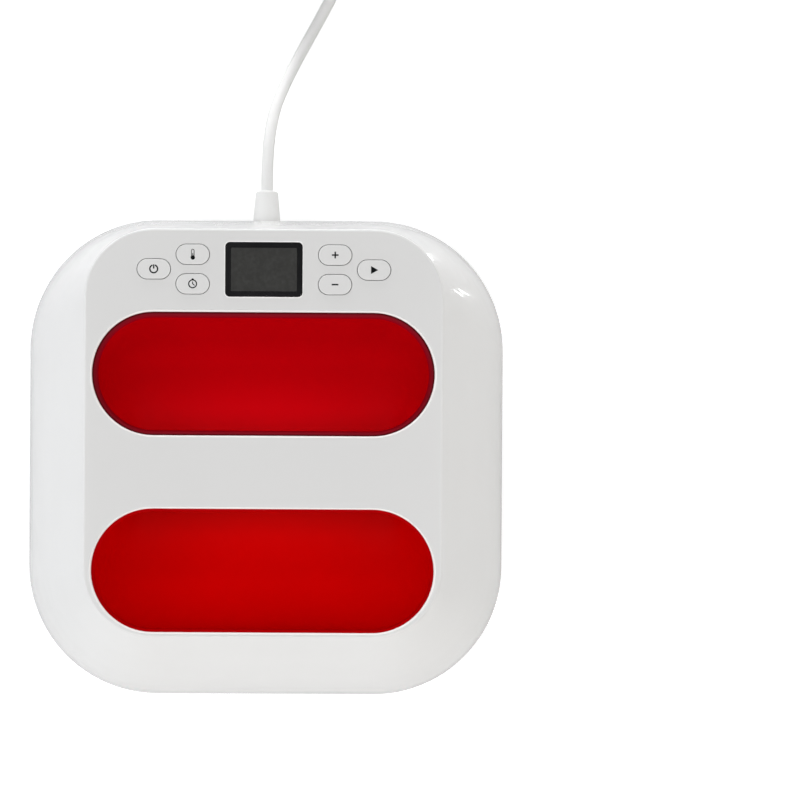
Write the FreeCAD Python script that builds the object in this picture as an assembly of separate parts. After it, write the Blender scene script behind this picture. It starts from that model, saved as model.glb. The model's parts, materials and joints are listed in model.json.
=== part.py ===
import FreeCAD, Part
import math
import os

# A handheld heat press: a square heated plate under a white moulded case, carried by a
# grip bar that bridges a red finger tray. Lengths are millimetres. +Z is up, +Y points to
# the rear, where the cord leaves, and the origin lies under the middle of the hot face.

V = FreeCAD.Vector
UP = V(0, 0, 1)
REARWARD = V(0, 1, 0)

# Case outline and heights
case_side = 250.0
case_corner_radius = 68.0
case_height = 106.0
parting_height = 26.0
parting_gap = 0.3

# Top shell
shell_top_wall = 2.6
shell_side_wall = 2.1
shell_bulge = 1.35
top_side_gap = 37.2
top_front_gap = 37.0
top_rear_gap = 13.0
top_corner_radius = 34.0
top_edge_radius = 1.2
shell_sections = 7

# Grip: two finger wells with a bar between them
well_side_margin = 3.7
well_front_margin = 2.1
well_lip_radius = 1.3
controls_strip = 40.7
grip_width = 36.0
grip_depth = 28.0
grip_edge_radius = 9.0
skirt_wall = 2.0
skirt_depth = 7.0
grip_cover_wall = 2.4
grip_cover_gap = 0.2
grip_end_gap = 0.4
grip_screw_spacing = 46.0
grip_screw_length = 13.0
grip_boss_height = 8.0
grip_head_depth = 5.0

# Finger tray
tray_wall = 2.2
tray_floor_height = 42.0
tray_step = 0.3
tray_gap = 0.1
tray_end_slope = 30.0
tray_front_slope = 60.0
tray_floor_radius = 16.0
tray_sections = 9
tray_lug_drop = 22.0
tray_lug_radius = 4.2
tray_lug_thickness = 2.5
tray_lug_reach = 7.2
tray_lug_screw = 5.0
tray_lug_spacing = 90.0
tray_foot_radius = 5.0
tray_foot_spacing = 70.0

# Heat plate
plate_side = 228.6
plate_rim_thickness = 3.6
plate_rim_radius = 0.8
plate_block_side = 208.0
plate_height = 12.0

# Tubular heater cast into the plate
heater_radius = 3.25
heater_fit = 0.15
heater_loop_side = 156.0
heater_loop_radius = 30.0
heater_axis_height = 8.4
heater_end_x = 42.0
heater_end_spacing = 24.0
heater_end_height = 33.0
heater_bend = 8.0
heater_tab_width = 6.3
heater_tab_thickness = 0.8
heater_tab_length = 7.0
tag_thickness = 0.8

# Insulation over the plate
sheet_side = 204.0
mica_thickness = 0.8
blanket_thickness = 10.0
shield_side = 228.0
shield_thickness = 1.0
hole_clearance = 1.0
bolt_spacing = 116.0
bolt_grip = 6.0
spacer_radius = 5.0
spacer_fit = 0.3
cutoff_radius = 8.0
cutoff_base = 6.0
cutoff_cap_radius = 6.6
cutoff_cap = 8.0
cutoff_tab_length = 5.0
cutoff_tab_spacing = 7.0
probe_radius = 3.0
probe_sink = 6.0
probe_height = 13.0
probe_x = 34.0
probe_y = -30.0

# Bumper ring and base frame
plate_reveal = 0.8
bumper_wall = 4.0
bumper_floor = 2.5
bumper_edge_radius = 8.0
bumper_lap = 7.3
bumper_fit = 0.3
peg_radius = 4.0
peg_length = 3.6
peg_rim_distance = 9.17
peg_groove_width = 0.4
peg_groove_depth = 0.35
base_wall = 2.5
base_floor = 2.5
base_opening_gap = 2.0
base_boss_radius = 5.4
shield_boss_radius = 3.2
shield_boss_spacing = 100.0
lip_height = 3.0
lip_gap = 0.3

# Controls on the rear strip of the top
controls_rear_gap = 19.8
display_width = 37.9
display_depth = 26.8
display_radius = 2.4
display_border = 2.6
display_thickness = 2.0
display_fit = 0.1
pane_thickness = 1.2
pane_sink = 0.3
lcd_width = 36.0
lcd_depth = 25.0
button_length = 16.2
button_width = 9.7
button_gap = 0.35
button_proud = 0.4
button_edge_radius = 0.35
button_flange = 1.0
button_flange_thickness = 0.9
button_rest_gap = 0.1
button_travel = 0.6
button_stem_radius = 1.5
single_button_x = 54.0
paired_button_x = 34.9
paired_button_spacing = 14.5

# Control board under the controls
board_thickness = 1.6
board_half_length = 69.0
board_width = 30.5
board_radius = 10.0
board_shift = 2.2
board_boss_inset = 5.0
board_screw_grip = 4.0
switch_side = 6.0
switch_height = 3.5
switch_plunger_radius = 1.6
switch_plunger_height = 0.8
buzzer_radius = 6.0
buzzer_height = 8.0
buzzer_x = -8.0
chip_side = 12.0
chip_x = -26.0
socket_x = 25.0
socket_length = 14.0
socket_width = 6.0
socket_height = 7.0

# Power board at the rear left, over the heat shield
power_board_length = 80.0
power_board_width = 44.0
power_board_x = -48.0
power_board_rear_gap = 43.0
power_screw_length = 10.5
relay_length = 19.0
relay_width = 15.4
relay_height = 15.5
transformer_length = 22.0
transformer_width = 20.0
transformer_height = 18.0
capacitor_length = 18.0
capacitor_width = 8.0
capacitor_height = 14.0
fuse_length = 20.0
fuse_radius = 2.6
terminal_length = 14.0
terminal_width = 16.0
terminal_height = 11.0
terminal_pitch = 7.0
earth_x = 18.0
earth_rear_gap = 63.0
standoff_height = 8.0
standoff_radius = 3.0
board_hole_inset = 5.0

# Fasteners: shank radius, head radius and head height
small_shank = 1.3
small_head = 2.6
small_head_height = 1.6
large_shank = 2.0
large_head = 3.6
large_head_height = 2.6
thread_gap = 0.05
shank_gap = 0.3
boss_wall = 1.9
case_screw_depth = 16.0
shield_screw_length = 8.0

# Power cord and its fittings
cord_diameter = 6.3
cord_exit_height = 40.0
cord_floor_gap = 0.2
relief_base_radius = 7.0
relief_tip_radius = 5.85
relief_length = 14.0
relief_tip_edge = 1.2
relief_wall_gap = 0.2
relief_flange_radius = 8.6
relief_flange_thickness = 3.0
relief_flange_setback = 2.8
clamp_post_spacing = 28.0
clamp_post_radius = 3.5
clamp_distance = 13.5
clamp_thickness = 4.0
clamp_height = 9.0
jacket_end_distance = 25.0
core_radius = 1.2
core_spacing = 3.2

# Put-away coil: turns in quarters, so that it starts and ends square
coil_centre_x = -6.5
coil_centre_y = 304.0
coil_inner_radius = 28.0
coil_pitch = 6.9
coil_layer_rise = 6.85
coil_quarters_in = 13
coil_quarters_out = 12
coil_end_run = 6.3

# Mains plug lying beside the coil
plug_distance = 43.0
plug_tail_length = 20.0
plug_tail_radius = 4.6
plug_body_length = 36.0
plug_width = 27.0
plug_thickness = 24.5
blade_length = 16.5
blade_width = 6.35
blade_thickness = 1.5
blade_spacing = 12.7
ground_pin_radius = 2.4
ground_pin_length = 19.0
ground_pin_offset = 11.9

# Levels and half sizes that follow from the sizes above
half_case = case_side / 2
top_width = case_side - 2 * top_side_gap
controls_y = half_case - top_rear_gap - controls_rear_gap
board_centre_y = controls_y - board_shift
power_board_y = half_case - power_board_rear_gap
well_length = top_width - 2 * well_side_margin
wells_depth = case_side - top_front_gap - top_rear_gap - well_front_margin - controls_strip
well_width = round((wells_depth - grip_width) / 2, 3)
grip_centre_y = round(top_front_gap - half_case + well_front_margin + wells_depth / 2, 3)
tray_lug_height = case_height - tray_lug_drop
plate_radius = case_corner_radius - (case_side - plate_side) / 2
block_radius = plate_radius - (plate_side - plate_block_side) / 2
bumper_low = plate_rim_thickness + plate_reveal
base_low = bumper_low + bumper_floor + bumper_fit
mica_top = plate_height + mica_thickness
blanket_top = mica_top + blanket_thickness
cutoff_top = plate_height + cutoff_base + cutoff_cap + cutoff_tab_length
shield_top = blanket_top + shield_thickness
shell_low = parting_height + parting_gap
top_underside = case_height - shell_top_wall
skirt_low = case_height - skirt_depth
tray_top = skirt_low - tray_gap
tray_half_x = well_length / 2 + tray_step
tray_half_y = grip_width / 2 + well_width + tray_step
grip_low = case_height - grip_depth
well_offset = (grip_width + well_width) / 2
cord_radius = cord_diameter / 2
cord_floor = cord_radius + cord_floor_gap
shell_rear = half_case
relief_tip_y = shell_rear + relief_length
peg_circle = case_corner_radius - peg_rim_distance
peg_place = round(half_case - case_corner_radius + peg_circle / math.sqrt(2), 2)
coil_top = cord_floor + coil_layer_rise
coil_start_radius = coil_inner_radius + coil_pitch * coil_quarters_in / 4
coil_end_radius = coil_inner_radius + coil_pitch * coil_quarters_out / 4
plug_axis = plug_thickness / 2 + cord_floor_gap
case_boss_radius = small_shank + 2 * boss_wall


def rounded_wire(half_x, half_y, radius, z, centre_x=0.0, centre_y=0.0):
    """A rectangle with round corners, as four lines and four arcs from its right side."""
    edges = []
    inner_x = half_x - radius
    inner_y = half_y - radius
    middle = V(centre_x, centre_y, z)
    corners = [(inner_x, inner_y), (-inner_x, inner_y), (-inner_x, -inner_y), (inner_x, -inner_y)]
    for number, (x, y) in enumerate(corners):
        start = math.pi / 2 * number
        points = [
            middle + V(x + radius * math.cos(start + turn), y + radius * math.sin(start + turn), 0)
            for turn in (0, math.pi / 4, math.pi / 2)
        ]
        edges.append(Part.Arc(*points).toShape())
        following = corners[(number + 1) % 4]
        beyond = start + math.pi / 2
        target = middle + V(
            following[0] + radius * math.cos(beyond), following[1] + radius * math.sin(beyond), 0
        )
        edges.append(Part.LineSegment(points[2], target).toShape())
    return Part.Wire(edges)


def rounded_slab(half_x, half_y, radius, low, high, centre_x=0.0, centre_y=0.0):
    face = Part.Face(rounded_wire(half_x, half_y, radius, low, centre_x, centre_y))
    return face.extrude(V(0, 0, high - low))


def square_slab(half, radius, low, high):
    return rounded_slab(half, half, radius, low, high)


def stadium_slab(half_length, half_width, low, high, centre_x=0.0, centre_y=0.0):
    """A long slot shape with half-round ends."""
    straight = half_length - half_width
    right = [
        V(straight + half_width * math.cos(turn), half_width * math.sin(turn), low)
        for turn in (-math.pi / 2, 0, math.pi / 2)
    ]
    left = [V(-point.x, -point.y, low) for point in right]
    edges = [
        Part.Arc(*right).toShape(),
        Part.LineSegment(right[2], left[0]).toShape(),
        Part.Arc(*left).toShape(),
        Part.LineSegment(left[2], right[0]).toShape(),
    ]
    slab = Part.Face(Part.Wire(edges)).extrude(V(0, 0, high - low))
    slab.translate(V(centre_x, centre_y, 0))
    return slab


def disc(x, y, low, high, radius):
    return Part.makeCylinder(radius, high - low, V(x, y, low), UP)


def block(x_low, x_high, y_low, y_high, z_low, z_high):
    return Part.makeBox(x_high - x_low, y_high - y_low, z_high - z_low, V(x_low, y_low, z_low))


def tube_ring(x, y, low, high, outer, inner):
    return disc(x, y, low, high, outer).cut(disc(x, y, low, high, inner))


def edges_at(solid, height):
    return [
        edge
        for edge in solid.Edges
        if abs(edge.BoundBox.ZMin - height) < 1e-4 and abs(edge.BoundBox.ZMax - height) < 1e-4
    ]


def fuse_all(shapes):
    joined = shapes[0]
    if len(shapes) > 1:
        joined = joined.multiFuse(shapes[1:])
    return joined.removeSplitter()


def mirrored(points):
    """Each (x, y) with its mirror images in both axes."""
    return [(x * side, y * end) for x, y in points for side in (-1, 1) for end in (-1, 1)]


def screw(x, y, seat, shank_length, shank, head, head_height, upward=1):
    """A pan head screw. The head lies on its seat and the shank runs the other way."""
    direction = UP * upward
    body = Part.makeCylinder(shank, shank_length, V(x, y, seat), direction * -1)
    top = Part.makeCylinder(head, head_height, V(x, y, seat), direction)
    rim = top.makeFillet(
        head_height * 0.45,
        edges_at(top, seat + upward * head_height),
    )
    socket = Part.makeBox(head, head * 0.25, head_height * 0.4)
    socket.translate(V(x - head / 2, y - head * 0.125, 0))
    outer = seat + upward * head_height
    socket.translate(V(0, 0, outer - (head_height * 0.4 if upward > 0 else 0)))
    return body.fuse(rim).cut(socket).removeSplitter()


# Swept tubes


def rounded_path(points, bend=None):
    """Straight runs joined by tangent arcs. With no bend given, an arc is as large as its runs allow."""
    edges = []
    radii = []
    at = points[0]
    for before, corner, after in zip(points, points[1:], points[2:]):
        incoming = (corner - before).normalize()
        outgoing = (after - corner).normalize()
        half_turn = incoming.getAngle(outgoing) / 2
        shorter = min((corner - before).Length, (after - corner).Length)
        radius = bend or 0.45 * shorter / math.tan(half_turn)
        setback = radius * math.tan(half_turn)
        start = corner - incoming * setback
        end = corner + outgoing * setback
        inward = (outgoing - incoming).normalize()
        centre = corner + inward * (radius / math.cos(half_turn))
        edges.append(Part.LineSegment(at, start).toShape())
        edges.append(Part.Arc(start, centre - inward * radius, end).toShape())
        radii.append(radius)
        at = end
    edges.append(Part.LineSegment(at, points[-1]).toShape())
    return Part.Wire(edges), radii


def swept_disc(path, radius):
    """A round tube along a path, in one piece."""
    first = path.OrderedEdges[0]
    start = first.valueAt(first.FirstParameter)
    heading = first.tangentAt(first.FirstParameter)
    if first.Orientation == "Reversed":
        start = first.valueAt(first.LastParameter)
        heading = first.tangentAt(first.LastParameter) * -1
    circle = Part.Wire(Part.makeCircle(radius, start, heading))
    return path.makePipeShell([circle], True, False)


def report_tube(name, path, radius, radii, solid):
    length = path.Length
    expected = math.pi * radius ** 2 * length
    print(
        f"{name}: {length:.1f} mm long, least radius {min(radii):.1f} mm, "
        f"volume / (section x length) {solid.Volume / expected:.4f}, valid {solid.isValid()}"
    )


def wire_lead(points, radius, bend):
    path, _ = rounded_path([V(*point) for point in points], bend)
    return swept_disc(path, radius)


# Top shell


def shell_section(pull, z, inward):
    """The case outline drawn in by a share of its way to the flat top, and inward by a wall."""
    half_x = half_case - pull * (half_case - top_width / 2) - inward
    rear = half_case - pull * top_rear_gap - inward
    front = half_case - pull * top_front_gap - inward
    radius = case_corner_radius - pull * (case_corner_radius - top_corner_radius) - inward
    return rounded_wire(half_x, (rear + front) / 2, radius, z, 0, (rear - front) / 2)


def shell_pull(z, top):
    """The share of the way from the outline to the flat top that the wall has gone at a height."""
    return ((z - shell_low) / (top - shell_low)) ** shell_bulge


def shell_form(inward, top):
    """The domed body of the shell, up to a flat top at the given height."""
    sections = []
    for number in range(shell_sections):
        z = shell_low + (top - shell_low) * number / (shell_sections - 1)
        sections.append(shell_section(shell_pull(z, top), z, inward))
    return Part.makeLoft(sections, True, False)


def well(side, grow, low, high):
    """The slot of the rear well for side 1 or of the front well for side -1."""
    centre = grip_centre_y + side * well_offset
    return stadium_slab(
        well_length / 2 + grow, well_width / 2 + grow, low, high, centre_y=centre
    )


def button_places():
    pair = paired_button_spacing / 2
    return {
        "power_button": (-single_button_x, controls_y),
        "temperature_button": (-paired_button_x, controls_y + pair),
        "timer_button": (-paired_button_x, controls_y - pair),
        "plus_button": (paired_button_x, controls_y + pair),
        "minus_button": (paired_button_x, controls_y - pair),
        "start_button": (single_button_x, controls_y),
    }


def board_boss_places():
    half_y = board_width / 2 - board_boss_inset
    return [
        (side * (board_half_length - inset), board_centre_y + end * half_y)
        for end, inset in ((-1, board_boss_inset), (1, board_boss_inset + 2))
        for side in (-1, 1)
    ]


def tray_lug_places():
    x = tray_half_x + tray_lug_reach
    return [
        (side * x, grip_centre_y + end * tray_lug_spacing / 2)
        for side in (-1, 1)
        for end in (-1, 1)
    ]


def grip_screw_places():
    return [(step * grip_screw_spacing, grip_centre_y) for step in (-1, 0, 1)]


def shell_bosses(board_top):
    """Screw bosses under the top, down to what they carry."""
    boss = small_shank + boss_wall
    bosses = [disc(x, y, board_top, case_height, boss) for x, y in board_boss_places()]
    bosses += [disc(x, y, tray_lug_height, case_height, boss) for x, y in tray_lug_places()]
    inside = grip_low + grip_boss_height
    bosses += [disc(x, y, inside, case_height, boss) for x, y in grip_screw_places()]
    tall = shell_low + case_screw_depth + 2 * boss_wall
    for x, y in mirrored([(peg_place, peg_place)]):
        bosses.append(disc(x, y, shell_low, tall, case_boss_radius))
    for side in (-1, 1):
        post = Part.makeCylinder(
            clamp_post_radius,
            clamp_distance,
            V(side * clamp_post_spacing / 2, shell_rear - clamp_distance, cord_exit_height),
            REARWARD,
        )
        bosses.append(post)
    return bosses


def shell_pilot_holes(board_top):
    pilot = small_shank + thread_gap
    holes = [disc(x, y, board_top - 1, top_underside, pilot) for x, y in board_boss_places()]
    holes += [
        disc(x, y, tray_lug_height - 1, tray_lug_height + tray_lug_screw + 1, pilot)
        for x, y in tray_lug_places()
    ]
    holes += [disc(x, y, grip_low, top_underside - 2, pilot) for x, y in grip_screw_places()]
    for x, y in mirrored([(peg_place, peg_place)]):
        holes.append(disc(x, y, shell_low - 1, shell_low + case_screw_depth + 1, pilot))
    for side in (-1, 1):
        hole = Part.makeCylinder(
            pilot,
            clamp_distance - shell_side_wall,
            V(side * clamp_post_spacing / 2, shell_rear - clamp_distance, cord_exit_height),
            REARWARD,
        )
        holes.append(hole)
    return holes


def make_top_shell(board_top):
    outer = shell_form(0, case_height)
    cavity = shell_form(shell_side_wall, top_underside)
    skirts = [well(side, skirt_wall, skirt_low, case_height) for side in (-1, 1)]
    inside = [piece.common(outer) for piece in skirts + shell_bosses(board_top)]
    shell = outer.cut(cavity).multiFuse(inside)
    cuts = [well(side, 0, skirt_low - 1, case_height + 1) for side in (-1, 1)]
    for x, y in button_places().values():
        cuts.append(
            stadium_slab(
                button_length / 2 + button_gap,
                button_width / 2 + button_gap,
                top_underside - 1,
                case_height + 1,
                x,
                y,
            )
        )
    cuts.append(
        rounded_slab(
            display_width / 2 + display_fit,
            display_depth / 2 + display_fit,
            display_radius + display_fit,
            top_underside - 1,
            case_height + 1,
            0,
            controls_y,
        )
    )
    cuts.append(
        Part.makeCylinder(
            relief_base_radius + relief_wall_gap,
            3 * clamp_distance,
            V(0, shell_rear - clamp_distance, cord_exit_height),
            REARWARD,
        )
    )
    shell = shell.cut(cuts + shell_pilot_holes(board_top)).removeSplitter()
    return round_top_edges(shell)


def edges_on(solid, outline, height):
    """The edges at a height whose middle lies on an outline."""
    chosen = []
    for edge in edges_at(solid, height):
        middle = edge.valueAt((edge.FirstParameter + edge.LastParameter) / 2)
        if outline.distToShape(Part.Vertex(middle))[0] < 0.01:
            chosen.append(edge)
    return chosen


def round_top_edges(shell):
    """Rounds the lips of both wells, then the edge of the flat top."""
    for side in (-1, 1):
        lip = edges_at(well(side, 0, skirt_low, case_height), case_height)
        shell = shell.makeFillet(well_lip_radius, edges_on(shell, Part.Wire(lip), case_height))
    rim = shell_section(1, case_height, 0)
    return shell.makeFillet(top_edge_radius, edges_on(shell, rim, case_height))


# Finger tray and grip cover


def tray_form(grow):
    """The hollow of the tray, a rounded trough. grow moves its wall outward."""
    sections = []
    depth = tray_top - tray_floor_height
    top_radius = well_width / 2 + tray_step
    for number in range(tray_sections):
        turn = math.pi / 2 * number / (tray_sections - 1)
        drawn = 1 - math.cos(turn)
        half_x = tray_half_x - tray_end_slope * drawn + grow
        half_y = tray_half_y - tray_front_slope * drawn + grow
        radius = top_radius - (top_radius - tray_floor_radius) * drawn + grow
        z = tray_top - (depth + grow) * math.sin(turn)
        sections.append(rounded_wire(half_x, half_y, radius, z, 0, grip_centre_y))
    return Part.makeLoft(sections, True, False)


def tray_foot_places():
    return [
        (side * tray_foot_spacing / 2, grip_centre_y) for side in (-1, 1)
    ]


def make_grip_tray():
    outer = tray_form(tray_wall)
    pieces = [outer]
    for x, y in tray_lug_places():
        low = tray_lug_height - tray_lug_thickness
        ear = disc(x, y, low, tray_lug_height, tray_lug_radius)
        side = math.copysign(1, x)
        wall = side * (tray_half_x - tray_lug_radius)
        arm = block(
            min(wall, x), max(wall, x), y - tray_lug_radius, y + tray_lug_radius, low, tray_lug_height
        )
        pieces += [ear, arm]
    for x, y in tray_foot_places():
        pieces.append(disc(x, y, shield_top, tray_floor_height, tray_foot_radius))
    body = pieces[0].multiFuse(pieces[1:])
    holes = [
        disc(x, y, tray_lug_height - 2 * tray_lug_thickness, tray_lug_height + 1, small_shank + shank_gap)
        for x, y in tray_lug_places()
    ]
    return body.cut([tray_form(0)] + holes).removeSplitter()


def coved_well(side, grow, low, high, edge_radius):
    """A well that widens below along a quarter round, which leaves a rounded edge beside it."""
    radius = well_width / 2 + grow
    wide = radius + edge_radius
    knee = edge_radius * (1 - math.cos(math.pi / 4))
    outline = [V(0, 0, low - 1), V(wide, 0, low - 1), V(wide, 0, low)]
    inner = [V(radius, 0, low + edge_radius), V(radius, 0, high + 1), V(0, 0, high + 1)]
    edges = [Part.LineSegment(one, other).toShape() for one, other in zip(outline, outline[1:])]
    edges.append(Part.Arc(outline[-1], V(radius + knee, 0, low + knee), inner[0]).toShape())
    corners = inner + [outline[0]]
    edges += [Part.LineSegment(one, other).toShape() for one, other in zip(corners, corners[1:])]
    profile = Part.Face(Part.Wire(edges))
    straight = well_length / 2 + grow - radius
    centre = V(0, grip_centre_y + side * well_offset, 0)
    pieces = []
    for end in (-1, 1):
        turned = profile.revolve(V(0, 0, 0), UP, 360)
        turned.translate(centre + V(end * straight, 0, 0))
        across = profile.rotated(V(0, 0, 0), UP, 90 * end).extrude(V(2 * straight, 0, 0))
        across.translate(centre + V(-straight, 0, 0))
        pieces += [turned, across]
    return pieces[0].multiFuse(pieces[1:])


def grip_form(inset, low, high, edge_radius):
    """The space between the two wells, flared at its ends, with rounded lower edges."""
    reach = tray_half_x + 6
    prism = block(
        -reach, reach, grip_centre_y - well_offset, grip_centre_y + well_offset, low, high
    )
    return prism.cut([coved_well(side, inset, low, high, edge_radius) for side in (-1, 1)])


def make_grip_cover():
    high = skirt_low - grip_cover_gap
    outer = grip_form(0, grip_low, high, grip_edge_radius).common(tray_form(-grip_end_gap))
    hollow = grip_form(
        grip_cover_wall, grip_low + grip_cover_wall, high + 1, grip_edge_radius - grip_cover_wall
    )
    hollow = hollow.common(tray_form(-grip_end_gap - grip_cover_wall))
    boss_high = grip_low + grip_boss_height
    bosses = [disc(x, y, grip_low, boss_high, small_head + boss_wall) for x, y in grip_screw_places()]
    holes = []
    for x, y in grip_screw_places():
        holes.append(disc(x, y, grip_low - 1, boss_high + 1, small_shank + shank_gap))
        holes.append(disc(x, y, grip_low - 1, grip_low + grip_head_depth, small_head + shank_gap))
    return outer.cut(hollow).multiFuse(bosses).cut(holes)


# Heated base


def bolt_places():
    return mirrored([(bolt_spacing / 2, bolt_spacing / 2)])


def cutoff_place():
    return (0.0, 0.0)


def probe_place():
    return (probe_x, probe_y)


def heater_end_places():
    half = heater_end_spacing / 2
    return [(heater_end_x - half, heater_loop_side / 2), (heater_end_x + half, heater_loop_side / 2)]


def make_heat_plate():
    rim = square_slab(plate_side / 2, plate_radius, 0, plate_rim_thickness)
    rim = rim.makeFillet(plate_rim_radius, edges_at(rim, 0))
    body = square_slab(plate_block_side / 2, block_radius, plate_rim_thickness, plate_height)
    plate = rim.fuse(body)
    half = heater_loop_side / 2
    groove = heater_radius + heater_fit
    slot = square_slab(half + groove, heater_loop_radius + groove, heater_axis_height, plate_height + 1)
    slot = slot.cut(
        square_slab(half - groove, heater_loop_radius - groove, heater_axis_height, plate_height + 1)
    )
    loop = rounded_wire(half, half, heater_loop_radius, heater_axis_height)
    cuts = [slot, swept_disc(loop, groove)]
    for x, y in bolt_places():
        low = plate_height - bolt_grip - 1
        cuts.append(disc(x, y, low, plate_height + 1, large_shank + thread_gap))
    x, y = probe_place()
    low = plate_height - probe_sink
    cuts.append(disc(x, y, low, plate_height + 1, probe_radius + thread_gap))
    return plate.cut(cuts).removeSplitter()


def make_heating_element():
    half = heater_loop_side / 2
    radius = heater_loop_radius
    z = heater_axis_height
    (left_x, end_y), (right_x, _) = heater_end_places()
    corners = [(half, half), (half, -half), (-half, -half), (-half, half)]
    points = [V(right_x, end_y, heater_end_height), V(right_x, end_y, z)]
    path_points = points + [V(x, y, z) for x, y in corners]
    path_points += [V(left_x, end_y, z), V(left_x, end_y, heater_end_height)]
    edges = []
    at = path_points[0]
    for before, corner, after in zip(path_points, path_points[1:], path_points[2:]):
        bend = heater_bend if abs(corner.x) < half - 1 else radius
        piece, _ = rounded_path([at, corner, after], bend)
        arcs = piece.OrderedEdges
        edges += arcs[:2]
        at = arcs[1].valueAt(arcs[1].LastParameter)
        if (at - (corner + (after - corner).normalize() * bend)).Length > 0.01:
            at = arcs[1].valueAt(arcs[1].FirstParameter)
    edges.append(Part.LineSegment(at, path_points[-1]).toShape())
    tube = swept_disc(Part.Wire(edges), heater_radius)
    tabs = []
    for x, y in heater_end_places():
        low = heater_end_height
        pin = disc(x, y, low, low + 2, heater_radius * 0.6)
        tab = block(
            x - heater_tab_width / 2,
            x + heater_tab_width / 2,
            y - heater_tab_thickness / 2,
            y + heater_tab_thickness / 2,
            low + 1.5,
            low + 1.5 + heater_tab_length,
        )
        tabs += [pin, tab]
    return tube.multiFuse(tabs).removeSplitter()


def through_holes(low, high):
    """Holes of the sheets over the plate: spacers, heater ends, cutoff and probe."""
    cuts = [
        disc(x, y, low - 1, high + 1, spacer_radius + spacer_fit) for x, y in bolt_places()
    ]
    room = heater_radius + hole_clearance
    reach = heater_end_spacing / 2 + heater_bend + room
    cuts.append(
        block(
            heater_end_x - reach,
            heater_end_x + reach,
            heater_loop_side / 2 - room,
            heater_loop_side / 2 + room,
            low - 1,
            high + 1,
        )
    )
    x, y = cutoff_place()
    cuts.append(disc(x, y, low - 1, high + 1, cutoff_radius + hole_clearance))
    x, y = probe_place()
    cuts.append(disc(x, y, low - 1, high + 1, probe_radius + hole_clearance))
    return cuts


def make_sheet(low, high):
    sheet = square_slab(sheet_side / 2, block_radius - 2, low, high)
    return sheet.cut(through_holes(low, high)).removeSplitter()


def make_blanket():
    x, y = earth_place()
    tip = disc(x, y, mica_top - 1, blanket_top + 1, small_shank + hole_clearance)
    return make_sheet(mica_top, blanket_top).cut(tip)


def shield_boss_places():
    x = shield_side / 2 - shield_boss_radius
    half = shield_boss_spacing / 2
    return mirrored([(x, half)])


def make_heat_shield():
    radius = case_corner_radius - (case_side - shield_side) / 2
    sheet = square_slab(shield_side / 2, radius, blanket_top, shield_top)
    fold = square_slab(sheet_side / 2 + 2, block_radius, mica_top, blanket_top)
    fold = fold.cut(square_slab(sheet_side / 2 + 1, block_radius - 1, mica_top - 1, blanket_top + 1))
    sheet = sheet.fuse(fold)
    cuts = [disc(x, y, blanket_top - 1, shield_top + 1, large_shank + shank_gap) for x, y in bolt_places()]
    cuts += through_holes(blanket_top, shield_top)[len(bolt_places()):]
    for x, y in shield_boss_places():
        cuts.append(disc(x, y, blanket_top - 1, shield_top + 1, small_shank + shank_gap))
    for x, y in mirrored([(peg_place, peg_place)]):
        cuts.append(disc(x, y, mica_top - 1, shield_top + 1, base_boss_radius + hole_clearance))
    for x, y in power_board_holes() + [earth_place()]:
        cuts.append(disc(x, y, blanket_top - 1, shield_top + 1, small_shank + thread_gap))
    return sheet.cut(cuts).removeSplitter()


def make_base_frame():
    corner = case_corner_radius - bumper_wall - bumper_fit
    half = half_case - bumper_wall - bumper_fit
    lip_top = shell_low + lip_height
    outer = square_slab(half, corner, base_low, lip_top)
    edge = bumper_edge_radius - bumper_wall + 1 - bumper_fit
    outer = outer.makeFillet(edge, edges_at(outer, base_low))
    wall_lean = shell_pull(lip_top, top_underside) * max(top_side_gap, top_front_gap)
    lip_inset = shell_side_wall + wall_lean + lip_gap
    lip = square_slab(
        half_case - lip_inset, case_corner_radius - lip_inset, parting_height + 0.1, lip_top
    )
    frame = outer.fuse(lip)
    cavity = square_slab(half - base_wall, corner - base_wall, base_low + base_floor, case_height)
    opening_half = plate_block_side / 2 + base_opening_gap
    opening = square_slab(
        opening_half, block_radius + base_opening_gap, base_low - 1, base_low + base_floor + 1
    )
    frame = frame.cut([cavity, opening])
    floor = base_low + base_floor / 2
    bosses = [disc(x, y, floor, blanket_top, shield_boss_radius) for x, y in shield_boss_places()]
    bosses += [
        disc(x, y, floor, parting_height, base_boss_radius)
        for x, y in mirrored([(peg_place, peg_place)])
    ]
    frame = frame.multiFuse([boss.common(outer) for boss in bosses])
    cuts = [
        disc(x, y, floor + 2, blanket_top + 1, small_shank + thread_gap)
        for x, y in shield_boss_places()
    ]
    lip_low = parting_height
    for x, y in mirrored([(peg_place, peg_place)]):
        cuts.append(disc(x, y, lip_low, lip_low + 2 * lip_height, case_boss_radius + lip_gap))
    head_seat = base_low + peg_length + large_head_height + 0.3
    for x, y in mirrored([(peg_place, peg_place)]):
        cuts.append(disc(x, y, base_low - 1, head_seat, peg_radius + 0.1))
        cuts.append(disc(x, y, base_low, parting_height + 1, small_shank + shank_gap))
    return frame.cut(cuts).removeSplitter(), head_seat


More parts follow.
